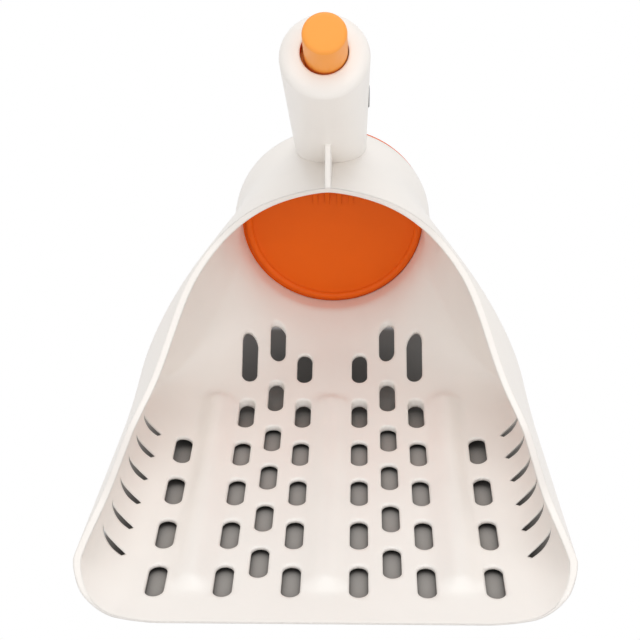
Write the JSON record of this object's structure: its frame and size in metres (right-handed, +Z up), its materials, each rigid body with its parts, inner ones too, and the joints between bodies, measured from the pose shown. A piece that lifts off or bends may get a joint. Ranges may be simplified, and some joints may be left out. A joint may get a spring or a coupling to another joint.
{
  "type": "sifting hand scoop",
  "caption": "Off-white plastic sifting hand scoop with a slotted pan, a round rear neck closed by a sprung orange flap, and a raked handle whose push button opens the flap.",
  "frame": {"origin": "on the flat underside of the pan, on the plane of symmetry, under the middle of the floor", "axes": "+Y rearward from the mouth to the flap, +Z up, +X to the right seen from the mouth"},
  "size_m": [0.1454, 0.166, 0.1543],
  "materials": {
    "shell_plastic": "satin",
    "button_plastic": "satin",
    "flap_plastic": "satin",
    "inner_plastic": "satin",
    "grip_rubber": "matte",
    "screw_steel": "satin",
    "spring_steel": "satin"
  },
  "bodies": {
    "scoop": {"scoop_pan": "shell_plastic", "handle": "shell_plastic", "grip_pad": "grip_rubber", "handle_screw_lower": "screw_steel", "handle_screw_upper": "screw_steel", "rod_bush": "inner_plastic", "return_spring": "spring_steel", "hinge_pin": "screw_steel", "flap_spring": "spring_steel"},
    "plunger": {"push_button": "button_plastic", "push_rod": "inner_plastic"},
    "flap": {"flap_door": "flap_plastic"}
  },
  "joints": [
    {"name": "button_slide", "type": "slide", "parent": "scoop", "child": "plunger", "axis": [0, 0.7547, -0.6561], "range_m": [0, 0.0128], "stiffness_N_per_m": 250, "springref_m": -0.008, "deforming": ["return_spring"]},
    {"name": "flap_hinge", "type": "hinge", "parent": "scoop", "child": "flap", "pos_m": [0, 0.1075, 0.0925], "axis": [1, 0, 0], "range_deg": [0, 56], "stiffness_Nm_per_rad": 0.02, "springref_deg": -28.65, "deforming": ["flap_spring"]}
  ],
  "couplings": [
    {"joint": "flap_hinge", "follows": "button_slide", "rad_per_m": 76.36}
  ]
}
